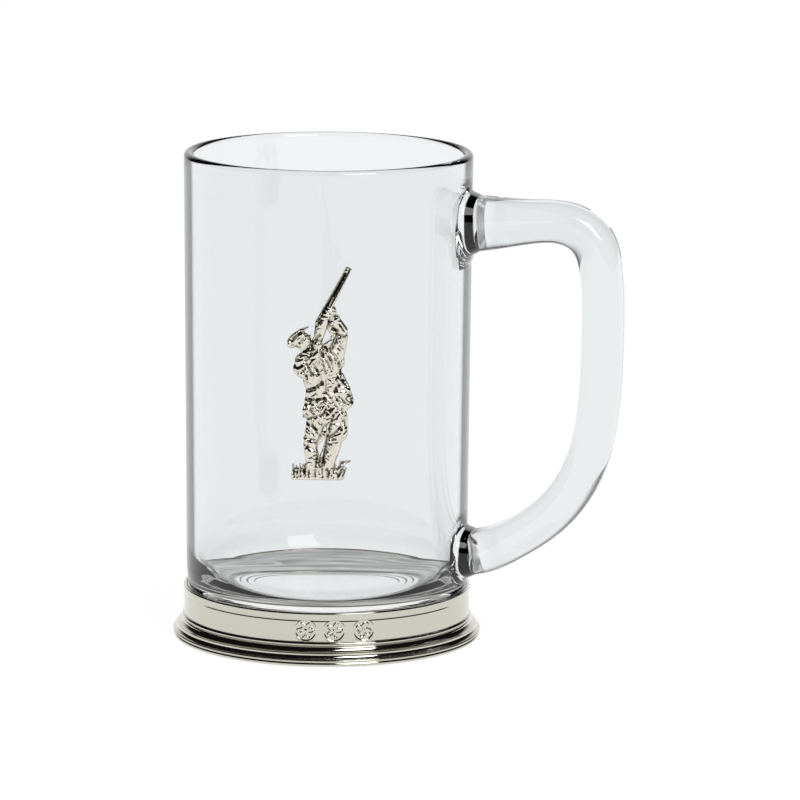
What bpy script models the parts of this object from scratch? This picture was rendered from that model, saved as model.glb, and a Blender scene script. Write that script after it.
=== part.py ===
# Glass pint tankard with a turned pewter base ring and a cast pewter badge of a game shooter.
# Metres, +Z up. The origin is at the middle of the whole object's footprint, on the table.
# The handle points along +X, and the badge and the touch marks are on the -Y side, turned towards the handle.

import math

import bmesh
import bpy
from mathutils import Matrix

# Overall sizes
BODY_HEIGHT = 0.1412         # table to the top of the glass rim
RIM_RADIUS = 0.0415          # outside of the glass at the rim
FINGER_GAP = 0.0328          # glass wall to the inside of the handle's grip
GAP = 0.0003                 # clearance between two pieces that touch

# Glass body
WALL = 0.0028                # glass wall at the rim
BODY_TAPER = 0.0008          # how much narrower the glass is just above its heel
HEEL_TOP = 0.0215            # height where the heel starts to curve in
HEEL_INSET = 0.0085          # how far the heel curves in
FLOOR_THICKNESS = 0.0095     # glass floor at its middle
FLOOR_FLAT_RADIUS = 0.023    # flat part of the floor inside
FLOOR_CURVE_HEIGHT = 0.007   # how high the floor's curve climbs the wall
PUNT_RADIUS = 0.0235         # shallow hollow pressed under the floor
PUNT_DEPTH = 0.0008

# Pewter base ring
RING_HEIGHT = 0.015          # table to the ring's top lip
RING_SLEEVE = 0.0004         # adhesive space beside the glass at the top lip
LIP_HEIGHT = 0.0017          # proud lip along the top edge
LIP_PROUD = 0.00015
BAND_THICKNESS = 0.0009      # wall of the ring at its top
BAND_SPREAD = 0.0001         # how much wider the band is at its bottom
BEAD_TOP = 0.0067            # bead between the band and the flared foot
BEAD_BOTTOM = 0.0052
BEAD_PROUD = 0.0005
FOOT_FLARE = 0.0032          # foot's outer radius beyond the band
FOOT_EDGE_HEIGHT = 0.0020
FOOT_PAD_WIDTH = 0.0032      # flat annulus that stands on the table
LEDGE_TOP = 0.0037           # ledge that the glass stands on
LEDGE_THICKNESS = 0.0012
LEDGE_WIDTH = 0.0100         # from the ring's wall inwards

# Touch marks: three shallow round stamps on the band
MARK_COUNT = 3
MARK_DIAMETER = 0.0058
MARK_DEPTH = 0.00035
MARK_PITCH_DEG = 11.5
MARK_TURN_DEG = 15.9         # middle mark, from -Y towards the handle

# Handle
GRIP_THICKNESS = 0.0119      # across the grip, in the handle's plane
GRIP_WIDTH = 0.0150          # along Y
UPPER_ROOT_DROP = 0.0194     # middle of the upper root below the rim
LOWER_ROOT_RISE = 0.0118     # middle of the lower root above the ring's lip
ROOT_FLARE = 1.75            # root thickness over grip thickness, at the glass
ROOT_SINK = 0.0020           # how far the bar runs in before it is cut to fit the glass

# Badge
BADGE_RISE = 0.0386          # badge's lower edge above the ring's lip
BADGE_HEIGHT = 0.0610        # lower edge of the grass to the gun's muzzle
BADGE_TURN_DEG = 10.8        # from -Y towards the handle
BADGE_THICKNESS = 0.0021
BOND_THICKNESS = 0.0003

TURNED_STEPS = 64

# Heights and radii that follow from the sizes above
HEEL_RADIUS = RIM_RADIUS - BODY_TAPER
GLASS_BOTTOM = LEDGE_TOP + GAP
FLOOR_TOP = GLASS_BOTTOM + FLOOR_THICKNESS
HANDLE_REACH = RIM_RADIUS + FINGER_GAP + GRIP_THICKNESS


def body_radius(z):
    """Outside radius of the glass above its heel: a straight taper from the rim to the heel."""
    share = (BODY_HEIGHT - z) / (BODY_HEIGHT - HEEL_TOP)
    return RIM_RADIUS - BODY_TAPER * share


def heel_point(angle_deg, offset=0.0):
    """Point on the elliptical heel, 0 at its top and 90 at its bottom, moved out along its normal."""
    angle = math.radians(angle_deg)
    rise = HEEL_TOP - GLASS_BOTTOM
    radius = HEEL_RADIUS - HEEL_INSET + HEEL_INSET * math.cos(angle)
    z = HEEL_TOP - rise * math.sin(angle)
    normal_r = math.cos(angle) / HEEL_INSET
    normal_z = -math.sin(angle) / rise
    length = math.hypot(normal_r, normal_z)
    return (radius + offset * normal_r / length, z + offset * normal_z / length)


# The heel leaves this radius free at the height of the ring's lip, and the ring is turned to clear it.
LIP_ANGLE_DEG = math.degrees(math.asin((HEEL_TOP - RING_HEIGHT) / (HEEL_TOP - GLASS_BOTTOM)))
RING_BORE = heel_point(LIP_ANGLE_DEG)[0] + RING_SLEEVE
BAND_RADIUS = RING_BORE + BAND_THICKNESS
FOOT_RADIUS = BAND_RADIUS + FOOT_FLARE
AXIS_X = (FOOT_RADIUS - HANDLE_REACH) / 2.0


def clear_scene():
    for obj in list(bpy.data.objects):
        bpy.data.objects.remove(obj, do_unlink=True)


def make_collection(name):
    collection = bpy.data.collections.new(name)
    bpy.context.scene.collection.children.link(collection)
    return collection


def make_material(name, colour, roughness, metallic):
    material = bpy.data.materials.new(name)
    material.use_nodes = True
    shader = material.node_tree.nodes["Principled BSDF"]
    shader.inputs["Base Color"].default_value = (*colour, 1.0)
    shader.inputs["Roughness"].default_value = roughness
    shader.inputs["Metallic"].default_value = metallic
    return material


def add_object(name, data, collection, material=None):
    obj = bpy.data.objects.new(name, data)
    collection.objects.link(obj)
    if material:
        data.materials.append(material)
    return obj


def shade_round(obj, angle_deg=35.0):
    obj.data.shade_smooth()
    obj.data.set_sharp_from_angle(angle=math.radians(angle_deg))


def arc(centre, radii, start_deg, end_deg, count):
    """Points along an elliptical arc in the (radius, height) plane, both ends included."""
    points = []
    for i in range(count + 1):
        angle = math.radians(start_deg + (end_deg - start_deg) * i / count)
        points.append((centre[0] + radii[0] * math.cos(angle), centre[1] + radii[1] * math.sin(angle)))
    return points


def turned(name, profile, collection, material=None, closed=False):
    """Revolve a (radius, height) profile about Z. Its outer side runs from top to bottom."""
    mesh = bpy.data.meshes.new(name)
    verts = [(radius, 0.0, z) for radius, z in profile]
    edges = [(i, i + 1) for i in range(len(verts) - 1)]
    if closed:
        edges.append((len(verts) - 1, 0))
    mesh.from_pydata(verts, edges, [])
    obj = add_object(name, mesh, collection, material)
    obj.location = (AXIS_X, 0.0, 0.0)
    screw = obj.modifiers.new("turn", "SCREW")
    screw.axis = "Z"
    screw.steps = TURNED_STEPS
    screw.render_steps = TURNED_STEPS
    screw.use_merge_vertices = True
    screw.merge_threshold = 0.00001
    screw.use_smooth_shade = True
    return obj


def as_mesh(obj):
    """Turn a curve object into a welded mesh object of the same name and place."""
    bpy.context.view_layer.update()
    evaluated = obj.evaluated_get(bpy.context.evaluated_depsgraph_get())
    mesh = bpy.data.meshes.new_from_object(evaluated)
    name = obj.name
    place = obj.matrix_world.copy()
    collection = obj.users_collection[0]
    bpy.data.objects.remove(obj, do_unlink=True)
    work = bmesh.new()
    work.from_mesh(mesh)
    bmesh.ops.remove_doubles(work, verts=work.verts, dist=0.00001)
    bmesh.ops.recalc_face_normals(work, faces=work.faces)
    work.to_mesh(mesh)
    work.free()
    made = bpy.data.objects.new(name, mesh)
    collection.objects.link(made)
    made.matrix_world = place
    return made


def hide_cutter(cutter):
    cutter.hide_render = True
    cutter.display_type = "WIRE"


def boolean(obj, cutter, operation):
    hide_cutter(cutter)
    modifier = obj.modifiers.new(operation.lower(), "BOOLEAN")
    modifier.operation = operation
    modifier.object = cutter
    modifier.solver = "EXACT"


def outer_wall(offset, low, high):
    """Closed turned profile of the glass's outside above the heel, moved out by offset."""
    return [(0.0, high), (body_radius(high) + offset, high), (body_radius(low) + offset, low), (0.0, low)]


def make_glass_body(collection, material):
    round_radius = WALL / 2.0
    rim_centre = (RIM_RADIUS - round_radius, BODY_HEIGHT - round_radius)
    curve_radius = body_radius(FLOOR_TOP + FLOOR_CURVE_HEIGHT) - WALL - FLOOR_FLAT_RADIUS
    curve_centre = (FLOOR_FLAT_RADIUS, FLOOR_TOP + FLOOR_CURVE_HEIGHT)
    profile = [(0.0, FLOOR_TOP)]
    profile += arc(curve_centre, (curve_radius, FLOOR_CURVE_HEIGHT), -90.0, 0.0, 7)
    profile += arc(rim_centre, (round_radius, round_radius), 180.0, 0.0, 8)
    profile += [heel_point(90.0 * i / 9) for i in range(10)]
    profile += [(PUNT_RADIUS, GLASS_BOTTOM), (PUNT_RADIUS - PUNT_DEPTH, GLASS_BOTTOM + PUNT_DEPTH)]
    profile += [(0.0, GLASS_BOTTOM + PUNT_DEPTH)]
    return turned("glass_body", profile, collection, material)


def handle_path():
    """Middle line of the handle as (radius, height, thickness share): over the top, down and back in."""
    grip = RIM_RADIUS + FINGER_GAP + GRIP_THICKNESS / 2.0
    upper = BODY_HEIGHT - UPPER_ROOT_DROP
    lower = RING_HEIGHT + LOWER_ROOT_RISE
    return [
        (body_radius(upper) - ROOT_SINK, upper, ROOT_FLARE),
        (body_radius(upper) + 0.0045, upper + 0.0003, 1.30),
        (grip - 0.0275, upper + 0.0007, 1.16),
        (grip - 0.0190, upper + 0.0014, 1.0),
        (grip - 0.0110, upper + 0.0011, 1.0),
        (grip - 0.0045, upper - 0.0023, 1.02),
        (grip - 0.0006, upper - 0.0130, 1.0),
        (grip, upper - 0.0300, 1.0),
        (grip - 0.0014, lower + 0.0400, 1.0),
        (grip - 0.0055, lower + 0.0244, 1.0),
        (grip - 0.0140, lower + 0.0121, 1.0),
        (grip - 0.0260, lower + 0.0034, 1.0),
        (body_radius(lower) + 0.0060, lower, 1.07),
        (body_radius(lower) - ROOT_SINK, lower - 0.0009, ROOT_FLARE),
    ]


def make_glass_handle(collection, cutters, material):
    curve = bpy.data.curves.new("glass_handle", "CURVE")
    curve.dimensions = "3D"
    curve.resolution_u = 5
    curve.bevel_depth = GRIP_THICKNESS / 2.0
    curve.bevel_resolution = 6
    curve.use_fill_caps = True
    points = handle_path()
    spline = curve.splines.new("BEZIER")
    spline.bezier_points.add(len(points) - 1)
    for knot, (radius, z, share) in zip(spline.bezier_points, points):
        knot.co = (radius, 0.0, z)
        knot.radius = share
        knot.handle_left_type = "AUTO"
        knot.handle_right_type = "AUTO"
    handle = as_mesh(add_object("glass_handle", curve, collection))
    handle.data.transform(Matrix.Diagonal((1.0, GRIP_WIDTH / GRIP_THICKNESS, 1.0, 1.0)))
    handle.location = (AXIS_X, 0.0, 0.0)
    handle.data.materials.clear()
    handle.data.materials.append(material)
    cutter = turned("glass_wall_cutter", outer_wall(GAP, HEEL_TOP / 2.0, BODY_HEIGHT), cutters)
    boolean(handle, cutter, "DIFFERENCE")
    shade_round(handle)
    return handle


def ring_profile():
    inner_radius = FOOT_RADIUS - FOOT_PAD_WIDTH
    lip = BAND_RADIUS + LIP_PROUD
    band_bottom = BAND_RADIUS + BAND_SPREAD
    bead = band_bottom + BEAD_PROUD
    outer = [
        (RING_BORE, RING_HEIGHT),
        (lip - 0.0003, RING_HEIGHT),
        (lip, RING_HEIGHT - 0.0003),
        (lip, RING_HEIGHT - LIP_HEIGHT),
        (BAND_RADIUS, RING_HEIGHT - LIP_HEIGHT),
        (band_bottom, BEAD_TOP),
        (bead, BEAD_TOP - 0.0002),
        (bead, BEAD_BOTTOM),
    ]
    ogee = arc((FOOT_RADIUS, BEAD_BOTTOM), (FOOT_RADIUS - bead, BEAD_BOTTOM - FOOT_EDGE_HEIGHT), 180.0, 265.0, 5)
    foot = [
        (FOOT_RADIUS, FOOT_EDGE_HEIGHT),
        (FOOT_RADIUS, 0.0004),
        (FOOT_RADIUS - 0.0004, 0.0),
    ]
    inside = [
        (inner_radius, 0.0),
        (RING_BORE, LEDGE_TOP - LEDGE_THICKNESS),
        (RING_BORE - LEDGE_WIDTH, LEDGE_TOP - LEDGE_THICKNESS),
        (RING_BORE - LEDGE_WIDTH, LEDGE_TOP),
        (RING_BORE, LEDGE_TOP),
    ]
    return outer + ogee[1:] + foot + inside


def make_base_ring(collection, cutters, material):
    ring = turned("base_ring", ring_profile(), collection, material, closed=True)
    mark_z = (RING_HEIGHT - LIP_HEIGHT + BEAD_TOP) / 2.0
    middle = (MARK_COUNT - 1) / 2.0
    for i in range(MARK_COUNT):
        turn = math.radians(MARK_TURN_DEG + (i - middle) * MARK_PITCH_DEG)
        bpy.ops.mesh.primitive_cylinder_add(vertices=24, radius=MARK_DIAMETER / 2.0, depth=2.0 * MARK_DEPTH)
        stamp = bpy.context.object
        stamp.name = "mark_cutter_%d" % (i + 1)
        for owner in list(stamp.users_collection):
            owner.objects.unlink(stamp)
        cutters.objects.link(stamp)
        stamp.rotation_euler = (math.radians(90.0), 0.0, turn)
        stamp.location = (AXIS_X + BAND_RADIUS * math.sin(turn), -BAND_RADIUS * math.cos(turn), mark_z)
        boolean(ring, stamp, "DIFFERENCE")
    return ring


def make_base_ring_bond(collection, material):
    """Wedge of adhesive between the heel and the ring, standing on the ledge."""
    outer_radius = RING_BORE - GAP
    floor = LEDGE_TOP + GAP
    top = heel_point(35.0, GAP)
    heel_side = [heel_point(35.0 + 37.0 * i / 5, GAP) for i in range(6)]
    profile = [top, (outer_radius, top[1]), (outer_radius, floor), (heel_side[-1][0], floor)]
    profile += reversed(heel_side[1:])
    return turned("base_ring_bond", profile, collection, material, closed=True)


# Outline of the shooter, clockwise from the muzzle, drawn 62.4 mm tall from the middle of the lower edge.
OUTLINE_HEIGHT = 0.0624
SHOOTER_OUTLINE = [
    (0.0073, 0.0624), (0.0086, 0.0620), (0.0042, 0.0517), (0.0042, 0.0478), (0.0079, 0.0425),
    (0.0077, 0.0397), (0.0065, 0.0340), (0.0065, 0.0314), (0.0085, 0.0271), (0.0095, 0.0240),
    (0.0095, 0.0223), (0.0078, 0.0191), (0.0082, 0.0132), (0.0075, 0.0117), (0.0052, 0.0086),
    (0.0037, 0.0053), (0.0086, 0.0056), (0.0068, 0.0006), (0.0061, 0.0), (-0.0078, 0.0),
    (-0.0083, 0.0010), (-0.0080, 0.0042), (-0.0047, 0.0045), (-0.0049, 0.0101), (-0.0038, 0.0142),
    (-0.0038, 0.0174), (-0.0052, 0.0186), (-0.0040, 0.0252), (-0.0040, 0.0276), (-0.0076, 0.0304),
    (-0.0086, 0.0334), (-0.0081, 0.0352), (-0.0060, 0.0370), (-0.0088, 0.0385), (-0.0095, 0.0397),
    (-0.0091, 0.0414), (-0.0056, 0.0442), (-0.0035, 0.0448), (-0.0021, 0.0422), (-0.0016, 0.0452),
    (0.0009, 0.0507),
]
ARM_OPENING = [(0.0019, 0.0439), (0.0032, 0.0422), (0.0029, 0.0411), (0.0009, 0.0397), (0.0012, 0.0422)]
LEG_OPENING = [(0.0020, 0.0126), (0.0009, 0.0089), (0.0003, 0.0071), (-0.0006, 0.0073), (-0.0010, 0.0095)]
BOND_OUTLINE = [
    (-0.0060, 0.0010), (-0.0035, 0.0050), (-0.0030, 0.0180), (-0.0028, 0.0290), (-0.0060, 0.0330),
    (-0.0040, 0.0380), (0.0005, 0.0378), (0.0050, 0.0385), (0.0050, 0.0300), (0.0075, 0.0235),
    (0.0060, 0.0130), (0.0028, 0.0095), (0.0032, 0.0055), (0.0055, 0.0010),
]


def flat_outline(name, outlines, depth, scale, collection):
    """Flat plate with the given outlines, scaled: the first is its edge, the others are holes."""
    curve = bpy.data.curves.new(name, "CURVE")
    curve.dimensions = "2D"
    curve.fill_mode = "BOTH"
    curve.extrude = depth / 2.0
    for outline in outlines:
        spline = curve.splines.new("POLY")
        spline.points.add(len(outline) - 1)
        for point, (u, v) in zip(spline.points, outline):
            point.co = (u * scale, v * scale, 0.0, 1.0)
        spline.use_cyclic_u = True
    return add_object(name, curve, collection)


def curved_plate(name, outlines, inner, thickness, cutters, collection, material):
    """Plate that bends round the glass: a flat outline kept only between two turned walls."""
    base_z = RING_HEIGHT + BADGE_RISE
    turn = math.radians(BADGE_TURN_DEG)
    scale = BADGE_HEIGHT / OUTLINE_HEIGHT
    plate = flat_outline(name, outlines, RIM_RADIUS, scale, collection)
    upright = Matrix.Rotation(turn, 4, "Z") @ Matrix.Translation((0.0, -RIM_RADIUS, 0.0))
    place = Matrix.Translation((AXIS_X, 0.0, base_z)) @ upright @ Matrix.Rotation(math.radians(90.0), 4, "X")
    plate.matrix_world = place
    plate = as_mesh(plate)
    plate.data.materials.clear()
    plate.data.materials.append(material)
    outside = turned(name + "_outside", outer_wall(inner + thickness, HEEL_TOP, BODY_HEIGHT), cutters)
    inside = turned(name + "_inside", outer_wall(inner, HEEL_TOP / 2.0, BODY_HEIGHT * 1.1), cutters)
    boolean(plate, outside, "INTERSECT")
    boolean(plate, inside, "DIFFERENCE")
    return plate


def main():
    clear_scene()
    parts = make_collection("pewter_based_tankard")
    cutters = make_collection("cutters")
    glass = make_material("clear_glass", (0.80, 0.86, 0.87), 0.03, 0.0)
    pewter = make_material("polished_pewter", (0.66, 0.65, 0.62), 0.12, 1.0)
    cast_pewter = make_material("cast_pewter", (0.60, 0.59, 0.55), 0.25, 1.0)
    adhesive = make_material("adhesive", (0.46, 0.47, 0.46), 0.55, 0.0)

    make_glass_body(parts, glass)
    make_glass_handle(parts, cutters, glass)
    make_base_ring(parts, cutters, pewter)
    make_base_ring_bond(parts, adhesive)
    badge_inner = GAP + BOND_THICKNESS + GAP
    shooter = [SHOOTER_OUTLINE, ARM_OPENING, LEG_OPENING]
    curved_plate("shooter_badge", shooter, badge_inner, BADGE_THICKNESS, cutters, parts, cast_pewter)
    curved_plate("badge_bond", [BOND_OUTLINE], GAP, BOND_THICKNESS, cutters, parts, adhesive)


main()
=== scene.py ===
import math
import bpy
import numpy as np
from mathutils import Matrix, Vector


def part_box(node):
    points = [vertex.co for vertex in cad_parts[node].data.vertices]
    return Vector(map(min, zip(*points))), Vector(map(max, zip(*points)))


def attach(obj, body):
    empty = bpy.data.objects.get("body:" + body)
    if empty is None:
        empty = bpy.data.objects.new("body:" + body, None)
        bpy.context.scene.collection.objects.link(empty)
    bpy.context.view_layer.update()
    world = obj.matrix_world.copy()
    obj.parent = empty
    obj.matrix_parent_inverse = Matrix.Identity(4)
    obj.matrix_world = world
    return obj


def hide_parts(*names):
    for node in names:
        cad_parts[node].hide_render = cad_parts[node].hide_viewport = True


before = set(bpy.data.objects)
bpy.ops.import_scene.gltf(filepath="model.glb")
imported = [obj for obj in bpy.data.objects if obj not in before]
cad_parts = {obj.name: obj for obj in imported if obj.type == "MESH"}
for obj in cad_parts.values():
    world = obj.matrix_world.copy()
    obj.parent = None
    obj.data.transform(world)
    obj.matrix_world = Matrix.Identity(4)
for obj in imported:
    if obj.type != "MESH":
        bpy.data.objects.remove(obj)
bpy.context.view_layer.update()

mm = 0.001
tiny = 1e-6                    # keeps a division off zero
farAway = 1e3
print("tankard frame loaded with", len(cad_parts), "nodes")

# Places and sizes that come from the frame
bodyLow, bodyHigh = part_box("glass_body")
ringLow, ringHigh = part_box("base_ring")
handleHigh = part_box("glass_handle")[1]
badgeLow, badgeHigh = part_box("shooter_badge")
axisX = (bodyLow[0] + bodyHigh[0]) / 2
rimRadius = (bodyHigh[0] - bodyLow[0]) / 2
footRadius = (ringHigh[0] - ringLow[0]) / 2
handleReach = handleHigh[0] - axisX
glassTop = bodyHigh[2]
glassFoot = bodyLow[2]
ringTop = ringHigh[2]
badgeTurn = math.atan2((badgeLow[0] + badgeHigh[0]) / 2 - axisX, -badgeLow[1])


def newPiece(name, points, faces):
    # Smooth mesh object at the origin.
    mesh = bpy.data.meshes.new(name)
    mesh.from_pydata(points.tolist(), [], faces)
    mesh.shade_smooth()
    piece = bpy.data.objects.new(name, mesh)
    bpy.context.scene.collection.objects.link(piece)
    return piece


def surfacePiece(name, grid, aroundRows=False, startPole=None, endPole=None):
    # One closed mesh from grid[row, column]: columns always close round, rows close too if aroundRows,
    # otherwise each end closes on its pole point with a fan. Rows run down the outer side.
    rows, columns = grid.shape[:2]
    index = np.arange(rows * columns).reshape(rows, columns)
    below = np.roll(index, -1, axis=0) if aroundRows else index[1:]
    here = index if aroundRows else index[:-1]
    quads = np.stack([here, below, np.roll(below, -1, axis=1), np.roll(here, -1, axis=1)], axis=-1)
    points = grid.reshape(-1, 3)
    faces = quads.reshape(-1, 4).tolist()
    if not aroundRows:
        points = np.vstack([points, startPole, endPole])
        first, last = index[0], index[-1]
        top = np.stack([np.full(columns, rows * columns), first, np.roll(first, -1)], axis=-1)
        foot = np.stack([np.full(columns, rows * columns + 1), np.roll(last, -1), last], axis=-1)
        faces += top.tolist() + foot.tolist()
    return newPiece(name, points, faces)


def arcPoints(centre, radii, startDegrees, endDegrees, count):
    # Ellipse arc in the (radius, height) plane: centre plus radii times cosine and sine of the angle.
    angle = np.radians(np.linspace(startDegrees, endDegrees, count))
    return np.stack([centre[0] + radii[0] * np.cos(angle), centre[1] + radii[1] * np.sin(angle)], axis=-1)


def turnedGrid(profile, angles):
    # A (radius, height) profile carried round the tankard's axis.
    radius, height = profile[:, :1], profile[:, 1:]
    x = axisX + radius * np.cos(angles)
    y = radius * np.sin(angles)
    return np.stack([x, y, np.broadcast_to(height, x.shape)], axis=-1)


def easeStep(value, low, high):
    # Smooth 0 to 1 step between low and high: three squares less two cubes.
    share = np.clip((value - low) / (high - low), 0, 1)
    return share * share * (3 - 2 * share)


def smoothCurve(knots, step, endStep, endReach):
    # Natural cubic spline through the knots by chord length, read at even steps, finer near both ends.
    knots = np.asarray(knots, float)
    chord = np.concatenate([[0], np.cumsum(np.linalg.norm(np.diff(knots[:, :2], axis=0), axis=1))])
    gap = np.diff(chord)
    n = len(knots)
    system = np.eye(n)
    right = np.zeros_like(knots)
    for i in range(1, n - 1):
        system[i, i - 1:i + 2] = gap[i - 1], 2 * (gap[i - 1] + gap[i]), gap[i]
        right[i] = 6 * ((knots[i + 1] - knots[i]) / gap[i] - (knots[i] - knots[i - 1]) / gap[i - 1])
    bend = np.linalg.solve(system, right)
    fine = np.arange(0, endReach, endStep)
    at = np.concatenate([fine, np.arange(endReach, chord[-1] - endReach, step), chord[-1] - fine[::-1]])
    k = np.clip(np.searchsorted(chord, at, side="right") - 1, 0, n - 2)
    h = gap[k][:, None]
    a = ((chord[k + 1] - at)[:, None]) / h
    b = 1 - a
    return a * knots[k] + b * knots[k + 1] + ((a**3 - a) * bend[k] + (b**3 - b) * bend[k + 1]) * h * h / 6


glassBody = dict(
    wall=2.8 * mm,
    taper=0.8 * mm,            # narrower just above the heel
    heelTop=21.5 * mm,
    heelInset=8.5 * mm,
    bowl=((1.0 * mm, 13.0 * mm), (12.0 * mm, 13.0 * mm), (22.0 * mm, 13.0 * mm), (28.0 * mm, 13.2 * mm),
          (32.0 * mm, 14.6 * mm), (35.4 * mm, 17.6 * mm), (37.4 * mm, 22.0 * mm)),
    bowlStep=0.5 * mm,
    onWall=(4.0 * mm, 7.0 * mm),  # heights above the bowl's last point where its curve is on the wall
    puntDepth=0.8 * mm,        # hollow pressed under the floor
    puntRings=((27.4 * mm, 0.30), (24.6 * mm, 0.40), (22.0 * mm, 0.30)),  # radius and share of the depth
    puntRound=0.5 * mm,
    puntMiddle=1.0 * mm,       # radius of the fan that closes the underside
    wallRows=26,
    rimRows=25,
    heelRows=28,
    underRows=90,
    columns=256,
)


def wallRadius(height):
    # Outside of the glass above the heel: a straight taper down from the rim.
    share = (glassTop - height) / (glassTop - glassBody["heelTop"])
    return rimRadius - glassBody["taper"] * share


def makeGlassBody():
    # A profile turned round the axis: floor, wall, round rim, taper, elliptical heel, stepped underside.
    s = glassBody
    half = s["wall"] / 2
    onWall = [s["bowl"][-1][1] + rise for rise in s["onWall"]]
    bowl = list(s["bowl"]) + [(wallRadius(height) - s["wall"], height) for height in onWall]
    bowl = smoothCurve(bowl, s["bowlStep"], s["bowlStep"], s["bowlStep"])
    floorTop = s["bowl"][0][1]
    wallHeights = np.linspace(onWall[-1], glassTop - half, s["wallRows"])[1:-1]
    inner = np.stack([wallRadius(wallHeights) - s["wall"], wallHeights], axis=-1)
    rim = arcPoints((rimRadius - half, glassTop - half), (half, half), 180, 0, s["rimRows"])
    outer = np.stack([wallRadius(wallHeights[::-1]), wallHeights[::-1]], axis=-1)
    footRound = rimRadius - s["taper"] - s["heelInset"]
    heelSize = (s["heelInset"], s["heelTop"] - glassFoot)
    heel = arcPoints((footRound, s["heelTop"]), heelSize, 0, -90, s["heelRows"])
    underRadius = np.linspace(footRound, s["puntMiddle"], s["underRows"])[1:]
    under = np.stack([underRadius, undersideHeight(underRadius)], axis=-1)
    profile = np.vstack([bowl, inner, rim, outer, heel, under])
    angles = np.linspace(0, 2 * math.pi, s["columns"], endpoint=False)
    return surfacePiece(
        "glassBody", turnedGrid(profile, angles),
        startPole=(axisX, 0, floorTop), endPole=(axisX, 0, under[-1, 1]))


def undersideHeight(radius):
    # Stepped hollow under the glass: the foot's height and a smooth step up at each ring, going inwards.
    s = glassBody
    rise = sum(share * easeStep(-radius, -edge, -edge + s["puntRound"]) for edge, share in s["puntRings"])
    return glassFoot + s["puntDepth"] * rise


def heelRadiusAt(height):
    # Outside of the heel: a quarter ellipse that draws in towards the foot.
    dip = (glassBody["heelTop"] - height) / (glassBody["heelTop"] - glassFoot)
    return rimRadius - glassBody["taper"] - glassBody["heelInset"] * (1 - np.sqrt(1 - dip**2))


glassHandle = dict(
    thickness=11.9 * mm,       # in the handle's plane
    clear=0.05 * mm,           # short of the handle's full reach
    width=15.0 * mm,
    squareness=2.8,            # exponent of the section's superellipse
    upperDrop=19.4 * mm,       # upper root below the rim
    lowerRise=11.8 * mm,       # lower root above the ring
    flare=3.4 * mm,            # length of the conical root
    flareSlope=0.40,
    flareWide=0.30,            # slope of the root's sides
    fillet=1.4 * mm,           # small round between the root and the wall
    padWidth=24.0 * mm,
    padShare=0.45,             # share of the pad's extra width that the root takes
    padReach=7.0 * mm,
    bendReach=12.0 * mm,       # how far out the section still follows the wall's curve
    sink=1.0 * mm,             # how far the roots run into the glass before they are fused
    step=0.9 * mm,
    endStep=0.2 * mm,
    endReach=10.0 * mm,
    columns=96,
)


def handleKnots():
    # Middle line of the handle (radius, height, thickness share), from the upper root to the lower root.
    s = glassHandle
    grip = handleReach - s["thickness"] / 2 - s["clear"]
    upper = glassTop - s["upperDrop"]
    lower = ringTop + s["lowerRise"]
    upperWall = wallRadius(upper)
    lowerWall = wallRadius(lower)
    return [
        (upperWall - s["sink"], upper, 1.36),
        (upperWall + 4.5 * mm, upper + 0.3 * mm, 1.30),
        (grip - 27.5 * mm, upper + 0.7 * mm, 1.16),
        (grip - 19.0 * mm, upper + 1.4 * mm, 1.02),
        (grip - 11.0 * mm, upper + 1.1 * mm, 1.0),
        (grip - 4.5 * mm, upper - 2.3 * mm, 1.02),
        (grip - 0.6 * mm, upper - 13.0 * mm, 1.0),
        (grip, upper - 30.0 * mm, 1.0),
        (grip - 1.4 * mm, lower + 40.0 * mm, 1.0),
        (grip - 5.5 * mm, lower + 24.4 * mm, 1.0),
        (grip - 14.0 * mm, lower + 12.1 * mm, 1.0),
        (grip - 26.0 * mm, lower + 3.4 * mm, 1.0),
        (lowerWall + 6.0 * mm, lower, 1.05),
        (lowerWall - s["sink"], lower - 0.9 * mm, 1.06),
    ]


def makeGlassHandle():
    # A superellipse section carried along the middle line. Near each root it widens as a cone with a small
    # quarter-round at the wall, and is bent to the wall so that the pad follows the glass.
    s = glassHandle
    line = smoothCurve(handleKnots(), s["step"], s["endStep"], s["endReach"])
    radius, height, share = line[:, 0], line[:, 1], line[:, 2]
    tangent = np.gradient(line[:, :2], axis=0)
    tangent /= np.linalg.norm(tangent, axis=1)[:, None]
    wall = wallRadius(height)
    away = np.clip(radius - wall, 0, None)
    near = np.clip(1 - away / s["fillet"], 0, 1)
    filletRise = s["fillet"] * (1 - np.sqrt(1 - near**2))
    cone = np.clip(s["flare"] - away, 0, None)
    turn = np.linspace(0, 2 * math.pi, s["columns"], endpoint=False)
    power = 2 / s["squareness"]
    across = np.sign(np.cos(turn)) * np.abs(np.cos(turn)) ** power
    along = np.sign(np.sin(turn)) * np.abs(np.sin(turn)) ** power
    halfThick = share * s["thickness"] / 2 + filletRise + s["flareSlope"] * cone
    spread = 1 + (s["padWidth"] / s["width"] - 1) * s["padShare"] * np.exp(-((away / s["padReach"]) ** 2))
    halfWide = s["width"] / 2 * spread + filletRise + s["flareWide"] * cone
    acrossOffset = halfThick[:, None] * across
    y = halfWide[:, None] * along
    r = radius[:, None] + tangent[:, 1:] * acrossOffset
    z = height[:, None] - tangent[:, :1] * acrossOffset
    recede = wall[:, None] - np.sqrt(np.clip(wall[:, None] ** 2 - y**2, 0, None))
    hold = 1 - easeStep(away, 0, s["bendReach"])
    r = r - recede * hold[:, None]
    grid = np.stack([axisX + r, y, z], axis=-1)
    startPole = grid[0].mean(axis=0)
    endPole = grid[-1].mean(axis=0)
    return surfacePiece("glassHandle", grid, startPole=startPole, endPole=endPole)


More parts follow.
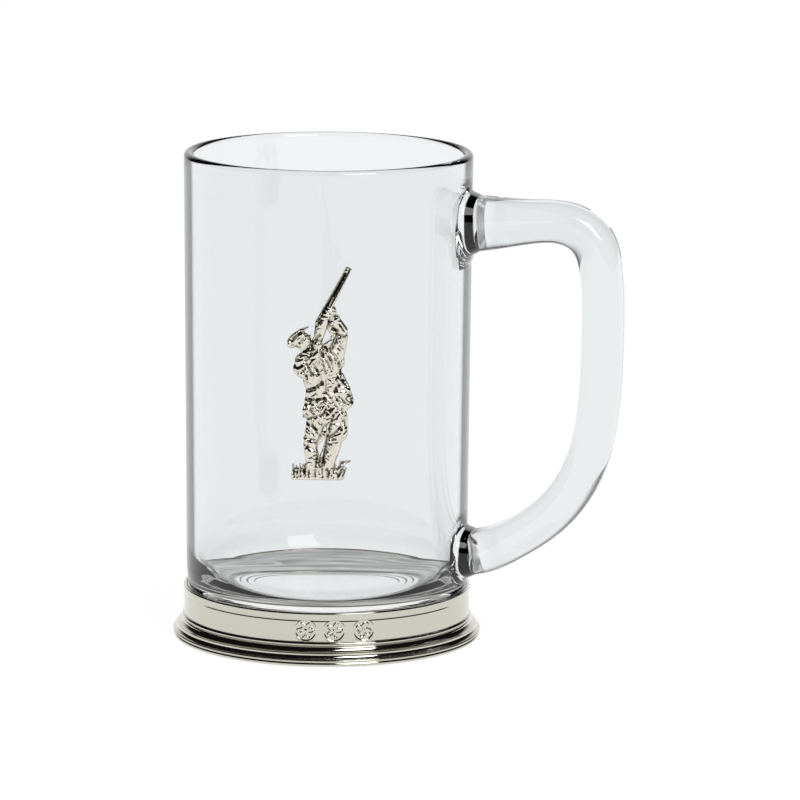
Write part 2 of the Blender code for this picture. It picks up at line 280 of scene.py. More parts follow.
def fuseHandle(body, handle):
    # The glass is one piece: an exact union of body and handle, kept as a plain mesh.
    union = body.modifiers.new("fuse", "BOOLEAN")
    union.operation = "UNION"
    union.object = handle
    union.solver = "EXACT"
    bpy.context.view_layer.update()
    fused = bpy.data.meshes.new_from_object(body.evaluated_get(bpy.context.evaluated_depsgraph_get()))
    fused.shade_smooth()
    body.modifiers.clear()
    body.data = fused
    bpy.data.objects.remove(handle)


pewterRing = dict(
    sleeve=0.4 * mm,           # space beside the glass at the lip
    lipHeight=2.2 * mm,
    lipProud=0.15 * mm,
    lipRound=0.45 * mm,
    lipGroove=0.12 * mm,       # depth of the groove under the lip
    lipSlope=0.38 * mm,        # height of the groove
    bandThickness=0.9 * mm,
    bandSpread=0.1 * mm,       # wider at the foot of the band
    bandRows=64,
    beadTop=6.7 * mm,
    beadBottom=5.2 * mm,
    beadProud=0.5 * mm,
    beadRound=(0.75 * mm, 0.72 * mm),
    stepProud=1.30 * mm,       # small upright step half way down the foot, beyond the bead
    stepTop=3.65 * mm,
    stepBottom=3.15 * mm,
    stepRound=0.12 * mm,
    footEdge=2.0 * mm,
    edgeRound=(0.35 * mm, 0.30 * mm),
    soleRound=(0.70 * mm, 0.66 * mm),
    footPad=3.2 * mm,
    ledgeTop=3.7 * mm,
    ledgeThickness=1.2 * mm,
    ledgeWidth=10.0 * mm,
)


def ringProfile():
    # Outer side from the lip down to the foot: lip, groove, band, bead, cove, step, second cove and edge.
    # Then the underside and the bore back up.
    s = pewterRing
    bore = heelRadiusAt(ringTop) + s["sleeve"]
    band = bore + s["bandThickness"]
    lip = band + s["lipProud"]
    low = band + s["bandSpread"]
    bead = low + s["beadProud"]
    lipFoot = ringTop - s["lipHeight"]
    groove = band - s["lipGroove"]
    bandTop = lipFoot - s["lipSlope"] - 0.05 * mm
    bandFoot = s["beadTop"] + 0.10 * mm
    beadMiddle = (s["beadTop"] + s["beadBottom"]) / 2
    coveTop = s["beadBottom"] - 0.1 * mm
    coveSize = (s["stepProud"] + 0.25 * mm, coveTop - s["stepTop"])
    step = bead + s["stepProud"]
    stepRound = s["stepRound"]
    edgeRound = s["edgeRound"]
    lowCoveTop = s["stepBottom"] + 0.1 * mm
    lowCoveSize = (footRadius - step - 0.02 * mm, lowCoveTop - s["footEdge"] - 0.05 * mm)
    ledge = bore - s["ledgeWidth"]
    ledgeFoot = s["ledgeTop"] - s["ledgeThickness"]
    parts = [
        arcPoints((lip - s["lipRound"], ringTop - s["lipRound"]), (s["lipRound"], s["lipRound"]), 90, 0, 7),
        [(lip, lipFoot + 0.12 * mm), (lip - 0.05 * mm, lipFoot + 0.03 * mm)],
        [(groove, lipFoot - 0.03 * mm), (groove, lipFoot - 0.10 * mm), (band, lipFoot - s["lipSlope"])],
        np.linspace((band, bandTop), (low, bandFoot), s["bandRows"]),
        [(low - 0.05 * mm, s["beadTop"])],
        arcPoints((bead - s["beadRound"][0], beadMiddle), s["beadRound"], 75, -75, 13),
        [(bead - 0.35 * mm, s["beadBottom"] - 0.05 * mm)],
        arcPoints((step, coveTop), coveSize, 183, 262, 10),
        arcPoints((step - stepRound, s["stepTop"] - stepRound - 0.02 * mm), (stepRound, stepRound), 75, 0, 6),
        [(step + 0.01 * mm, lowCoveTop + 0.05 * mm)],
        arcPoints((footRadius, lowCoveTop), lowCoveSize, 183, 262, 16),
        arcPoints((footRadius - edgeRound[0], s["footEdge"] - edgeRound[1]), edgeRound, 80, -60, 7),
        [(footRadius - 0.30 * mm, s["footEdge"] - 0.62 * mm)],
        arcPoints((footRadius - 0.75 * mm, 0.68 * mm), s["soleRound"], 45, -90, 12),
        [(footRadius - s["footPad"], 0.02 * mm)],
        arcPoints((footRadius - s["footPad"] - 0.1 * mm, 0.5 * mm), (0.4 * mm, 0.4 * mm), -90, -180, 5),
        [(bore, ledgeFoot - 0.1 * mm), (ledge, ledgeFoot), (ledge, s["ledgeTop"])],
        [(bore, s["ledgeTop"]), (bore, ringTop - 0.2 * mm), (bore + 0.1 * mm, ringTop)],
    ]
    return np.vstack([np.asarray(part) for part in parts])


stamps = dict(
    turns=(4.5, 15.75, 27.5),  # degrees from the front towards the handle
    height=9.85 * mm,
    radius=3.3 * mm,
    depth=0.16 * mm,
    raised=0.20 * mm,
    line=0.24 * mm,            # half width of the raised lines
    outline=0.93,              # share of the radius where the raised outline runs
    fieldEdge=(0.96, 1.04),
    skin=1.0 * mm,             # metal nearer the bore than this isn't pressed
    margin=5,                  # degrees of fine columns beyond the first and last stamp
    fineStep=0.14,             # degrees between the fine columns
    coarseColumns=300,
)


def stampFigure(number, far, turn):
    # Raised line figures about each stamp's middle: a rosette, a star and a quatrefoil, each a radius that
    # swings with the angle, round a small dot and inside an outline.
    swing = (
        0.56 + 0.16 * np.cos(6 * turn),
        0.34 + 0.34 * np.abs(np.cos(2.5 * turn)) ** 2,
        0.30 + 0.36 * np.abs(np.cos(2 * turn + 0.78)),
    )[number]
    width = stamps["line"] / stamps["radius"]
    lines = np.exp(-(((far - swing) / width) ** 2)) + np.exp(-((far / (1.3 * width)) ** 2))
    return lines + np.exp(-(((far - stamps["outline"]) / width) ** 2))


def makePewterRing():
    # The profile turned round the axis, with three round stamps pressed into the band: each is a sunk field
    # less the raised figure, and ends in a smooth step.
    s = stamps
    fineFrom = s["turns"][0] - s["margin"]
    fineTo = s["turns"][-1] + s["margin"]
    fine = np.arange(fineFrom, fineTo, s["fineStep"])
    coarse = np.linspace(fineTo, fineFrom + 360, s["coarseColumns"], endpoint=False)
    angles = np.radians(np.concatenate([fine, coarse]) - 90)
    profile = ringProfile()
    grid = turnedGrid(profile, angles)
    radius = np.broadcast_to(profile[:, :1], grid.shape[:2])
    height = grid[:, :, 2]
    sink = np.zeros_like(height)
    outside = radius > heelRadiusAt(ringTop) + s["skin"]
    for number, turn in enumerate(s["turns"]):
        across = (angles - math.radians(turn - 90)) * radius
        far = np.hypot(across, height - s["height"]) / s["radius"]
        turned = np.arctan2(height - s["height"], across)
        figure = s["depth"] - s["raised"] * stampFigure(number, far, turned)
        sink += figure * (1 - easeStep(far, *s["fieldEdge"])) * outside
    outward = np.stack([np.cos(angles), np.sin(angles), np.zeros_like(angles)], axis=-1)
    return surfacePiece("pewterRing", grid - sink[:, :, None] * outward, aroundRows=True)


ringBond = dict(
    high=14.4 * mm,
    clear=0.05 * mm,           # short of the ring's bore and ledge
    heelGap=0.12 * mm,         # dry against the heel
    toe=0.2 * mm,              # its foot starts this far out from the heel's
    boreRows=12,
    heelRows=30,
    columns=256,
)


def makeRingBond():
    # Wedge between the heel's curve and the ring's straight bore, turned round the axis.
    s = ringBond
    bore = heelRadiusAt(ringTop) + pewterRing["sleeve"] - s["clear"]
    ledge = pewterRing["ledgeTop"] + s["clear"]
    heelFoot = heelRadiusAt(glassFoot)
    heights = np.linspace(glassFoot + s["heelGap"], s["high"], s["heelRows"])
    profile = np.vstack([
        np.linspace((bore, s["high"]), (bore, ledge), s["boreRows"]),
        [(heelFoot + s["toe"], ledge)],
        np.stack([heelRadiusAt(heights) + s["heelGap"], heights], axis=-1),
    ])
    angles = np.linspace(0, 2 * math.pi, s["columns"], endpoint=False)
    return surfacePiece("ringBond", turnedGrid(profile, angles), aroundRows=True)


glassLook = dict(
    ior=1.5,
    wallColour=(0.874, 0.890, 0.896, 1),
    # painted shade: this edge colour darkens the wall's outer side where it is seen on edge
    paintedEdgeShade=(0.02, 0.03, 0.03, 1),
    edgeShadeFacing=(0.62, 0.70),   # where the painted edge shade starts and is full, 1 being seen side on
    outerSide=(39.2 * mm, 39.8 * mm),  # radius that tells the outer side of the wall from the inner
    handleColour=(0.80, 0.825, 0.835, 1),
    handleBeyond=(3.0 * mm, 8.0 * mm),  # beyond the rim's radius, where the handle's tone starts and is full
    baseColour=(0.995, 1.0, 0.998, 1),
    baseHeights=(20.0 * mm, 14.5 * mm),  # where the clearer base starts and is full, going down
)
pewterLook = dict(colour=(0.585, 0.575, 0.505, 1), roughness=0.08)
# The dark hollow colour is patina in the badge's hollows and also painted shade in its recesses.
castLook = dict(colour=(0.72, 0.69, 0.60, 1), patinaAndShadeColour=(0.035, 0.033, 0.028, 1), roughness=0.16)
adhesiveLook = dict(
    low=(0.42, 0.42, 0.41, 1),
    high=(0.95, 0.95, 0.93, 1),
    lowAt=0.35,
    highAt=0.68,
    roughness=0.45,
    # painted light: strength of the emission glow that stands in for light reaching the adhesive
    paintedGlow=0.35,
    streaks=(45, 45, 900),     # cells for each metre: short in height, long round the tankard
    detail=4,
)


def newMaterial(name):
    material = bpy.data.materials.new(name)
    material.use_nodes = True
    return material, material.node_tree.nodes["Principled BSDF"]


def rangeNode(tree, value, limits=(0, 1), results=(0, 1), smooth=False):
    # Carries the value from the limits to the results, in a straight line or a smooth step.
    node = tree.nodes.new("ShaderNodeMapRange")
    node.interpolation_type = "SMOOTHSTEP" if smooth else "LINEAR"
    node.inputs["From Min"].default_value, node.inputs["From Max"].default_value = limits
    node.inputs["To Min"].default_value, node.inputs["To Max"].default_value = results
    tree.links.new(value, node.inputs["Value"])
    return node.outputs["Result"]


def mathNode(tree, operation, first, second):
    # Two values joined by the operation; the second may be a plain number.
    node = tree.nodes.new("ShaderNodeMath")
    node.operation = operation
    tree.links.new(first, node.inputs[0])
    if isinstance(second, float):
        node.inputs[1].default_value = second
    else:
        tree.links.new(second, node.inputs[1])
    return node.outputs["Value"]


def blendNode(tree, share, first, second):
    # Goes from the first colour to the second as the share goes from 0 to 1; the first may be a socket.
    node = tree.nodes.new("ShaderNodeMix")
    node.data_type = "RGBA"
    tree.links.new(share, node.inputs["Factor"])
    if isinstance(first, tuple):
        node.inputs[6].default_value = first
    else:
        tree.links.new(first, node.inputs[6])
    node.inputs[7].default_value = second
    return node.outputs[2]


def clearGlass():
    # Clear glass, with painted shade (a dark glass colour) where the wall's outer side is seen on edge, more
    # colour in the thick handle, and less in the base.
    look = glassLook
    material, shader = newMaterial("clearGlass")
    tree = material.node_tree
    shader.inputs["Roughness"].default_value = 0.0
    shader.inputs["IOR"].default_value = look["ior"]
    shader.inputs["Transmission Weight"].default_value = 1.0
    place = tree.nodes.new("ShaderNodeTexCoord").outputs["Object"]
    split = tree.nodes.new("ShaderNodeSeparateXYZ")
    tree.links.new(place, split.inputs[0])
    fromAxis = tree.nodes.new("ShaderNodeVectorMath")
    fromAxis.operation = "MULTIPLY_ADD"
    fromAxis.inputs[1].default_value = (1, 1, 0)
    fromAxis.inputs[2].default_value = (-axisX, 0, 0)
    tree.links.new(place, fromAxis.inputs[0])
    radius = tree.nodes.new("ShaderNodeVectorMath")
    radius.operation = "LENGTH"
    tree.links.new(fromAxis.outputs["Vector"], radius.inputs[0])
    facing = tree.nodes.new("ShaderNodeLayerWeight").outputs["Facing"]
    # Painted shade: the outer wall's colour goes dark where it is seen side on.
    onEdge = rangeNode(tree, facing, look["edgeShadeFacing"], smooth=True)
    outerSide = rangeNode(tree, radius.outputs["Value"], look["outerSide"])
    edgeShade = mathNode(tree, "MULTIPLY", onEdge, outerSide)
    tone = blendNode(tree, edgeShade, look["wallColour"], look["paintedEdgeShade"])
    lowDown = rangeNode(tree, split.outputs["Z"], look["baseHeights"])
    tone = blendNode(tree, lowDown, tone, look["baseColour"])
    handleLimits = [axisX + rimRadius + beyond for beyond in look["handleBeyond"]]
    beyondRim = rangeNode(tree, split.outputs["X"], handleLimits)
    tone = blendNode(tree, beyondRim, tone, look["handleColour"])
    tree.links.new(tone, shader.inputs["Base Color"])
    return material


def polishedPewter():
    material, shader = newMaterial("polishedPewter")
    shader.inputs["Base Color"].default_value = pewterLook["colour"]
    shader.inputs["Metallic"].default_value = 1.0
    shader.inputs["Roughness"].default_value = pewterLook["roughness"]
    return material


def castPewter():
    # Bright casting with dark patina and painted shade in its hollows, by the attribute that marks the
    # badge's recesses.
    material, shader = newMaterial("castPewter")
    tree = material.node_tree
    shader.inputs["Metallic"].default_value = 1.0
    shader.inputs["Roughness"].default_value = castLook["roughness"]
    patinaAndShade = tree.nodes.new("ShaderNodeAttribute")
    patinaAndShade.attribute_name = "patinaAndShade"
    tone = blendNode(tree, patinaAndShade.outputs["Fac"], castLook["colour"], castLook["patinaAndShadeColour"])
    tree.links.new(tone, shader.inputs["Base Color"])
    return material


def greyAdhesive():
    # Milky adhesive spread by hand: streaks that follow the way round the tankard, with painted light: a
    # little emission glow that stands in for the light reaching it inside the ring.
    look = adhesiveLook
    material, shader = newMaterial("greyAdhesive")
    tree = material.node_tree
    shader.inputs["Roughness"].default_value = look["roughness"]
    place = tree.nodes.new("ShaderNodeTexCoord")
    stretch = tree.nodes.new("ShaderNodeMapping")
    stretch.inputs["Scale"].default_value = look["streaks"]
    tree.links.new(place.outputs["Object"], stretch.inputs["Vector"])
    noise = tree.nodes.new("ShaderNodeTexNoise")
    noise.inputs["Scale"].default_value = 1.0
    noise.inputs["Detail"].default_value = look["detail"]
    tree.links.new(stretch.outputs["Vector"], noise.inputs["Vector"])
    tone = tree.nodes.new("ShaderNodeValToRGB")
    low, high = tone.color_ramp.elements
    low.position, low.color = look["lowAt"], look["low"]
    high.position, high.color = look["highAt"], look["high"]
    tree.links.new(noise.outputs["Fac"], tone.inputs["Fac"])
    tree.links.new(tone.outputs["Color"], shader.inputs["Base Color"])
    # Painted light: the streak tone is also given off as emission.
    tree.links.new(tone.outputs["Color"], shader.inputs["Emission Color"])
    shader.inputs["Emission Strength"].default_value = look["paintedGlow"]
    return material


def finishPiece(piece, material, slotName, *nodes):
    # Gives the piece its material and its body, and hides the frame's nodes that it stands for. The slot name
    # is not used.
    piece.data.materials.append(material)
    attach(piece, "root")
    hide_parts(*nodes)


# The figure is drawn in millimetres on its own sheet: u to the right, v up from the foot of the turf.
badge = dict(
    drawnHeight=62.4,
    cell=0.135,                # grid step of the relief
    edge=0.45,                 # height of the plate's edge
    edgeRound=0.40,
    dents=0.035,               # uneven surface left by the casting
    soften=2,                  # passes of the small blur that rounds the casting
    levelPasses=36,            # passes that make the level the recesses are measured from
    fullRecess=0.40,
    heights=(0.3, 2.45),       # least and most above the plate's back
    edgeShare=0.25,            # share of the relief's height that its outline keeps
    roundWidth=2.4,            # width over which a mass with corners rounds
    foldEase=0.5,              # folds fade in over this distance from a mass's outline
    sheetHalf=11.0,            # half width of the sheet
    sheetMargin=0.8,           # sheet above and below the figure
    bladeTip=0.16,             # half width of a blade's tip
    bladeLift=1.15,
    bladeBulge=0.55,
    back=0.9 * mm,             # proud of the glass wall
    bondCell=0.40,
    bondInset=0.55,
    bondBack=0.05 * mm,
    bondFront=0.85 * mm,
    # name, kind, shape, lift, bulge, folds
    # capsule (u0, v0, u1, v1, r0, r1), oval (u, v, ru, rv, tilt), polygon corners
    # folds run in lines (spacing, depth, turn) or rays (count, depth, middle)
    masses=[
        ("armPlate", "polygon",
         ((-1.6, 45.4), (3.9, 50.6), (4.3, 47.4), (7.6, 42.6), (6.6, 37.0), (-2.6, 37.5)), 0.45, 0.35, None),
        ("legPlate", "polygon", ((-1.9, 14.5), (3.0, 14.5), (3.6, 3.0), (-2.6, 3.0)), 0.40, 0.30, None),
        ("barrelLeft", "capsule", (7.55, 61.85, -1.05, 46.0, 0.46, 0.62), 1.05, 0.55, None),
        ("barrelRight", "capsule", (8.25, 61.5, 0.25, 45.4, 0.46, 0.66), 1.25, 0.60, None),
        ("receiver", "capsule", (0.7, 46.6, -0.3, 42.6, 1.45, 1.35), 1.15, 0.55, None),
        ("gunStock", "capsule", (-0.5, 42.4, -2.0, 38.8, 1.25, 1.4), 0.85, 0.60, None),
        ("foreHand", "oval", (2.5, 48.9, 2.3, 1.75, 58), 0.95, 0.85, ("lines", 1.0, 0.10, 70)),
        ("finger1", "capsule", (3.3, 50.4, 1.9, 51.0, 0.45, 0.40), 1.55, 0.50, None),
        ("finger2", "capsule", (3.0, 49.5, 1.3, 50.0, 0.48, 0.42), 1.60, 0.50, None),
        ("finger3", "capsule", (2.6, 48.6, 0.8, 48.9, 0.48, 0.42), 1.60, 0.50, None),
        ("finger4", "capsule", (2.2, 47.7, 0.5, 47.8, 0.45, 0.40), 1.55, 0.50, None),
        ("leftForearm", "capsule", (3.9, 47.2, 6.1, 43.8, 1.45, 1.65), 0.85, 1.05, None),
        ("cuff", "capsule", (2.9, 46.0, 4.9, 47.6, 0.55, 0.55), 1.35, 0.55, None),
        ("leftUpperArm", "capsule", (6.0, 41.8, 4.4, 36.6, 1.75, 2.4), 0.75, 1.15,
         ("lines", 0.82, 0.17, 27)),
        ("chest", "oval", (0.4, 31.0, 5.6, 7.4, 0), 0.55, 1.00, ("lines", 1.7, 0.10, 12)),
        ("leftShoulder", "oval", (4.1, 35.2, 2.7, 3.2, 20), 0.75, 1.20, ("lines", 1.05, 0.24, 22)),
        ("chestFolds", "oval", (1.2, 35.6, 2.3, 3.3, 12), 1.00, 0.80, ("lines", 0.85, 0.26, 20)),
        ("rightShoulder", "oval", (-4.4, 35.2, 3.2, 2.4, 25), 0.80, 1.20, ("rays", 17, 0.26, (-2.2, 36.4))),
        ("rightSleeve", "capsule", (-5.6, 32.6, -2.2, 30.6, 2.35, 2.4), 0.95, 1.25,
         ("rays", 13, 0.26, (-2.6, 34.6))),
        ("rightForearm", "capsule", (-3.2, 32.4, -0.9, 37.6, 1.9, 1.35), 1.10, 1.15,
         ("lines", 0.95, 0.20, 128)),
        ("waist", "polygon",
         ((-4.2, 26.9), (0.6, 29.2), (1.4, 28.6), (1.3, 24.4), (-4.3, 24.2)), 0.95, 0.45, None),
        ("chestPanel", "oval", (3.2, 29.6, 1.60, 3.9, -4), 1.15, 0.45, None),
        ("collar", "capsule", (-4.4, 37.3, 0.6, 37.9, 1.0, 0.9), 0.90, 0.80, ("lines", 1.1, 0.15, 75)),
        ("triggerHand", "oval", (-0.9, 39.6, 1.5, 1.3, 10), 1.25, 0.70, None),
        ("knuckle1", "oval", (-1.5, 39.8, 0.60, 0.55, 0), 1.85, 0.60, None),
        ("knuckle2", "oval", (-0.5, 40.8, 0.50, 0.42, 0), 1.75, 0.40, None),
        ("knuckle3", "oval", (0.1, 39.9, 0.50, 0.42, 0), 1.75, 0.40, None),
        ("neck", "capsule", (-5.0, 38.7, -3.2, 37.9, 1.3, 1.3), 0.60, 0.80, None),
        ("head", "oval", (-5.2, 40.6, 2.6, 2.35, 40), 0.80, 1.10, None),
        ("brow", "capsule", (-4.9, 42.6, -4.0, 42.0, 0.32, 0.32), 1.60, 0.35, None),
        ("nose", "capsule", (-4.0, 42.0, -3.2, 42.2, 0.34, 0.40), 1.65, 0.40, None),
        ("cheek", "oval", (-4.4, 40.8, 0.95, 0.80, 0), 1.65, 0.35, None),
        ("mouth", "capsule", (-3.3, 41.15, -2.9, 41.0, 0.22, 0.22), 1.60, 0.25, None),
        ("chin", "oval", (-3.0, 40.3, 0.70, 0.60, 0), 1.45, 0.40, None),
        ("ear", "oval", (-5.9, 39.9, 0.55, 0.80, 30), 1.70, 0.40, None),
        ("capCrown", "oval", (-7.1, 41.1, 3.3, 1.85, 44), 1.00, 1.10, ("lines", 1.30, 0.12, 134)),
        ("capPeak", "capsule", (-5.9, 43.4, -3.7, 44.75, 0.65, 0.26), 1.35, 0.45, None),
        ("skirtLeft", "polygon",
         ((-4.1, 26.5), (1.0, 27.0), (1.6, 19.5), (-1.5, 17.6), (-5.2, 18.3)), 0.70, 0.70,
         ("lines", 1.35, 0.14, 152)),
        ("pouch", "oval", (-2.4, 20.6, 2.8, 2.4, 12), 1.10, 0.90, ("lines", 1.25, 0.22, 24)),
        ("skirtRight", "polygon",
         ((1.6, 31.0), (6.3, 31.5), (8.5, 27.0), (9.5, 23.4), (8.9, 21.4), (5.9, 19.7), (2.6, 21.4),
          (0.6, 25.6)), 0.85, 0.85, ("lines", 1.55, 0.17, 47)),
        ("pocket", "polygon", ((4.2, 26.4), (6.8, 26.6), (8.2, 23.2), (5.6, 21.6)), 1.30, 0.40,
         ("lines", 1.2, 0.14, 52)),
        ("skirtHem", "capsule", (4.0, 20.9, 8.6, 22.6, 0.85, 0.85), 1.20, 0.55, ("lines", 1.7, 0.16, 60)),
        ("fly", "capsule", (1.8, 22.6, 1.5, 18.2, 1.3, 1.0), 0.80, 0.55, ("lines", 1.0, 0.22, 38)),
        ("breechesLeft", "capsule", (-0.7, 19.0, -2.2, 13.9, 3.1, 2.3), 0.55, 1.20,
         ("lines", 1.45, 0.17, 40)),
        ("breechesRight", "capsule", (4.2, 18.6, 4.9, 14.0, 3.5, 2.9), 0.60, 1.25,
         ("lines", 1.7, 0.17, 128)),
        ("kneeLeft", "capsule", (-3.6, 12.2, -1.6, 12.6, 1.3, 1.2), 0.85, 0.75, ("lines", 0.9, 0.16, 92)),
        ("kneeRight", "capsule", (2.9, 12.0, 5.4, 12.8, 1.2, 1.4), 0.80, 0.75, ("lines", 0.9, 0.20, 72)),
        ("calfLeft", "capsule", (-2.95, 10.6, -2.5, 4.4, 1.95, 1.55), 0.60, 1.05, ("lines", 2.2, 0.06, 80)),
        ("calfRight", "capsule", (3.9, 10.6, 2.4, 5.0, 2.15, 1.75), 0.60, 1.05, ("lines", 2.4, 0.06, 10)),
        ("boots", "capsule", (-2.9, 3.6, 2.6, 3.4, 1.9, 1.7), 0.60, 0.70, ("lines", 1.1, 0.15, 10)),
        ("turf", "polygon",
         ((-8.2, 0.0), (6.3, 0.0), (6.9, 0.7), (7.3, 3.0), (4.5, 3.6), (-3.0, 3.4), (-7.9, 3.6), (-8.3, 0.8)),
         0.75, 0.40, ("lines", 0.95, 0.12, 12)),
    ],
    # grass blades: foot, tip, width at the foot
    blades=[
        (-7.8, 0.6, -7.8, 4.5, 0.60), (-7.0, 0.6, -6.8, 4.1, 0.60), (-6.2, 0.6, -5.7, 4.7, 0.60),
        (-5.3, 0.6, -4.9, 4.5, 0.60), (-4.5, 0.6, -5.1, 3.8, 0.50), (-3.8, 0.6, -3.7, 5.0, 0.60),
        (-2.9, 0.6, -2.1, 5.3, 0.60), (-2.0, 0.6, -1.6, 6.2, 0.55), (-1.0, 0.6, -0.5, 6.9, 0.60),
        (0.0, 0.6, 0.4, 6.6, 0.60), (0.8, 0.6, 1.2, 5.8, 0.55), (1.8, 0.6, 1.3, 4.6, 0.55),
        (2.7, 0.6, 3.4, 5.2, 0.55), (3.4, 0.6, 4.4, 4.6, 0.55), (4.1, 0.6, 5.4, 4.4, 0.55),
        (4.0, 2.0, 7.0, 5.2, 0.95), (6.2, 4.9, 8.6, 5.6, 0.75), (5.2, 0.6, 6.8, 4.0, 0.60),
        (6.3, 0.6, 7.4, 3.6, 0.55),
    ],
    # engraved lines: end, end, half width, depth
    grooves=[
        (7.35, 61.6, 0.45, 49.2, 0.46, 0.75), (6.8, 60.4, -0.7, 46.9, 0.40, 0.90),
        (-0.35, 47.4, -1.65, 45.0, 0.25, 0.55), (5.3, 46.1, 7.45, 42.6, 0.20, 0.45),
        (3.4, 43.0, 7.0, 42.5, 0.20, 0.45), (3.4, 44.2, 4.6, 44.0, 0.42, 0.80),
        (2.0, 49.3, 3.4, 46.6, 0.20, 0.30), (3.6, 51.2, 3.7, 47.6, 0.22, 0.40),
        (-0.3, 42.9, -2.4, 40.6, 0.30, 0.60), (0.3, 37.9, 0.8, 36.6, 0.42, 0.65),
        (1.3, 39.0, 1.7, 38.2, 0.34, 0.55), (-2.6, 40.4, -2.4, 38.6, 0.36, 0.60),
        (-0.9, 38.2, -2.9, 36.9, 0.24, 0.45), (2.4, 36.9, 3.5, 33.4, 0.20, 0.42),
        (1.5, 36.5, 2.5, 33.2, 0.24, 0.50), (0.5, 35.5, 1.4, 31.8, 0.22, 0.45),
        (2.7, 37.9, 5.4, 33.5, 0.22, 0.45), (5.0, 35.0, 6.2, 32.0, 0.26, 0.55),
        (5.5, 32.6, 5.9, 29.8, 0.26, 0.50), (-8.5, 33.4, -6.9, 33.9, 0.26, 0.55),
        (-8.2, 31.6, -7.0, 32.3, 0.30, 0.55), (-6.6, 35.6, -5.4, 36.4, 0.28, 0.50),
        (-4.7, 32.2, -3.6, 30.0, 0.28, 0.60), (-3.4, 33.4, -2.2, 31.2, 0.30, 0.65),
        (-2.0, 34.3, -0.7, 32.1, 0.24, 0.50), (-4.3, 35.9, -3.7, 33.6, 0.26, 0.50),
        (-6.4, 31.9, -5.0, 29.0, 0.20, 0.35), (-4.0, 26.4, -1.7, 27.1, 0.34, 0.70),
        (-1.7, 27.1, 0.6, 29.1, 0.28, 0.60), (-4.4, 23.9, -2.0, 23.7, 0.40, 0.80),
        (-1.0, 23.6, 1.1, 24.1, 0.38, 0.80), (-4.1, 22.9, -4.5, 19.2, 0.34, 0.60),
        (-3.2, 22.6, -1.9, 19.6, 0.26, 0.55), (-1.5, 21.7, 0.3, 21.8, 0.20, 0.40),
        (-1.7, 20.6, -0.2, 20.9, 0.20, 0.40), (-3.4, 18.3, 0.4, 19.4, 0.22, 0.50),
        (1.4, 21.3, 0.5, 19.2, 0.24, 0.50), (1.5, 29.8, 1.5, 25.6, 0.20, 0.45),
        (1.0, 25.9, 2.6, 24.3, 0.30, 0.60), (3.7, 26.1, 5.1, 28.4, 0.28, 0.55),
        (2.8, 24.3, 5.1, 20.9, 0.24, 0.55), (3.9, 25.0, 6.4, 22.2, 0.18, 0.35),
        (5.1, 24.9, 7.6, 22.4, 0.18, 0.40), (8.35, 25.6, 8.95, 23.2, 0.42, 0.75),
        (5.9, 21.3, 6.3, 19.9, 0.26, 0.45), (6.6, 30.0, 7.5, 27.6, 0.24, 0.45),
        (3.7, 19.3, 2.5, 15.2, 0.34, 0.70), (2.5, 15.2, 1.9, 12.2, 0.22, 0.55),
        (6.7, 18.2, 7.3, 15.6, 0.30, 0.60), (5.6, 15.7, 2.5, 12.8, 0.32, 0.65),
        (6.4, 16.6, 5.0, 15.2, 0.28, 0.45), (3.1, 12.2, 6.4, 12.5, 0.20, 0.40),
        (3.3, 13.4, 6.0, 14.2, 0.16, 0.30), (-3.7, 17.1, -1.2, 15.2, 0.36, 0.60),
        (-2.6, 17.3, -0.1, 13.3, 0.24, 0.50), (-3.6, 15.6, -2.0, 13.6, 0.22, 0.40),
        (0.4, 17.3, 0.9, 14.4, 0.22, 0.40), (-4.4, 12.6, -1.5, 11.9, 0.26, 0.55),
        (-4.6, 10.6, -2.0, 9.3, 0.30, 0.50), (-4.4, 9.4, -3.0, 10.6, 0.22, 0.40),
        (1.7, 12.0, 0.8, 5.2, 0.30, 0.45), (-5.6, 43.7, -7.9, 41.2, 0.42, 0.80),
        (-8.8, 41.4, -7.8, 39.6, 0.20, 0.50), (-7.8, 39.6, -5.6, 38.9, 0.20, 0.50),
        (-8.1, 38.7, -6.6, 39.0, 0.24, 0.40), (-4.4, 41.6, -3.4, 41.5, 0.16, 0.35),
        (-5.4, 41.9, -5.0, 40.6, 0.20, 0.35), (1.9, 3.6, 3.6, 1.2, 0.20, 0.35),
        (3.4, 3.9, 5.0, 2.2, 0.20, 0.35), (-7.4, 3.4, -7.3, 1.2, 0.22, 0.40),
        (-6.5, 2.8, -6.4, 0.9, 0.20, 0.30), (-5.5, 3.4, -5.6, 1.4, 0.20, 0.35),
        (-4.4, 3.8, -4.3, 1.8, 0.20, 0.35), (-1.6, 4.6, -1.4, 1.6, 0.18, 0.30),
        (0.5, 4.8, 0.6, 1.4, 0.20, 0.35),
    ],
    openings=[
        ((1.75, 44.3), (2.85, 42.6), (2.7, 41.3), (0.6, 39.8), (0.35, 40.4), (1.3, 42.8)),
        ((1.7, 12.9), (0.6, 9.3), (-0.3, 7.1), (-0.9, 9.6), (-0.6, 10.3)),
    ],
    buckle=(-1.8, 23.4, 0.62),  # middle and radius
    buckleLift=1.7,
    buckleBulge=0.5,
)


def segmentDistance(u, v, u0, v0, u1, v1):
    # Distance to a straight piece, and how far along it the nearest point lies.
    du, dv = u1 - u0, v1 - v0
    share = np.clip(((u - u0) * du + (v - v0) * dv) / (du * du + dv * dv), 0, 1)
    return np.hypot(u - u0 - du * share, v - v0 - dv * share), share


def polygonDistance(u, v, corners):
    # Signed distance to a polygon: the nearest side, negative where a level ray crosses it an odd number
    # of times.
    nearest = np.full(np.shape(u), farAway)
    inside = np.zeros(np.shape(u), bool)
    for (u0, v0), (u1, v1) in zip(corners, corners[1:] + corners[:1]):
        nearest = np.minimum(nearest, segmentDistance(u, v, u0, v0, u1, v1)[0])
        crosses = (v0 > v) != (v1 > v)
        slope = (u1 - u0) / (v1 - v0) if v1 != v0 else 0
        inside ^= crosses & (u < u0 + (v - v0) * slope)
    return np.where(inside, -nearest, nearest)


